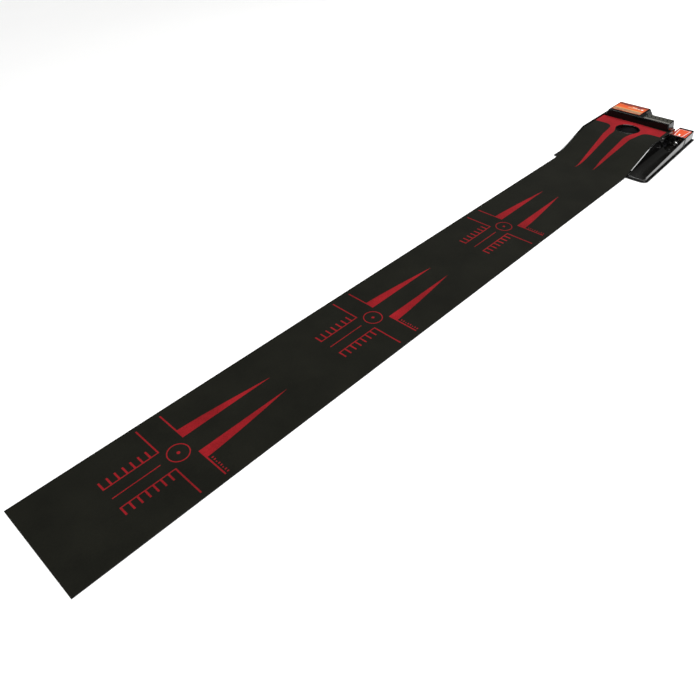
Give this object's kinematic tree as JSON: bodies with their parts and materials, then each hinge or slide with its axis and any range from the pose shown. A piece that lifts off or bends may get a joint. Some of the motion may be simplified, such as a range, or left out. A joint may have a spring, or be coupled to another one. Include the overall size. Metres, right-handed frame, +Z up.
{
  "type": "practice putting mat",
  "caption": "Long felt putting strip that climbs a ramp to a cup, with a side trough and a sprung electric kicker that send the ball back.",
  "frame": {"origin": "middle of the object's underside, on the floor", "axes": "+X along the mat from the player's end to the cup, +Y to the left of the mat's centre line, +Z up"},
  "size_m": [2.903, 0.3998, 0.0947],
  "materials": {
    "felt": "short black felt with red print",
    "gloss_black": "polished moulding",
    "satin_black": "satin moulding",
    "label_orange": "printed film",
    "rubber": "matte",
    "steel": "bright zinc",
    "copper_winding": "enamelled wire",
    "board_green": "solder mask",
    "cell_wrap": "printed wrap",
    "rocker_red": "gloss"
  },
  "bodies": {
    "base": {"mat": "felt", "upper_shell": "gloss_black", "return_trough": "gloss_black", "cup_ring": "gloss_black", "housing_cover": "gloss_black", "launcher_cover": "gloss_black", "base_plate": "satin_black", "ball_chute": "satin_black", "ball_switch": "satin_black", "battery_box": "satin_black", "power_inlet": "satin_black", "switch_bezel": "satin_black", "main_label": "label_orange", "launcher_label": "label_orange", "rubber_foot_1": "rubber", "rubber_foot_2": "rubber", "rubber_foot_3": "rubber", "rubber_foot_4": "rubber", "return_spring": "steel", "solenoid_frame": "steel", "contact_bridge": "steel", "contact_positive": "steel", "contact_negative": "steel", "capacitor": "steel", "base_screw_1": "steel", "base_screw_2": "steel", "base_screw_3": "steel", "base_screw_4": "steel", "base_screw_5": "steel", "base_screw_6": "steel", "solenoid_coil": "copper_winding", "circuit_board": "board_green", "battery_cell_1": "cell_wrap", "battery_cell_2": "cell_wrap", "battery_cell_3": "cell_wrap", "battery_cell_4": "cell_wrap"},
    "kicker": {"kicker_head": "steel", "plunger": "steel", "plunger_clip": "steel"},
    "trigger": {"trigger_lever": "steel"},
    "door": {"battery_door": "satin_black"},
    "rocker": {"power_rocker": "rocker_red"}
  },
  "joints": [
    {"name": "kicker_slide", "type": "slide", "parent": "base", "child": "kicker", "axis": [-1, 0, 0], "range_m": [0, 0.012], "stiffness_N_per_m": 120, "springref_m": -0.008, "deforming": ["return_spring"]},
    {"name": "trigger_hinge", "type": "hinge", "parent": "base", "child": "trigger", "pos_m": [1.303, -0.0996, 0.02525], "axis": [0, 0, 1], "range_deg": [0, 10], "stiffness_Nm_per_rad": 0.01, "springref_deg": -11.46},
    {"name": "battery_door_slide", "type": "slide", "parent": "base", "child": "door", "axis": [1, 0, 0], "range_m": [0, 0.12]},
    {"name": "power_rocker_hinge", "type": "hinge", "parent": "base", "child": "rocker", "pos_m": [1.4408, 0.1369, 0.034], "axis": [0, 0, 1], "range_deg": [-16, 0]}
  ]
}
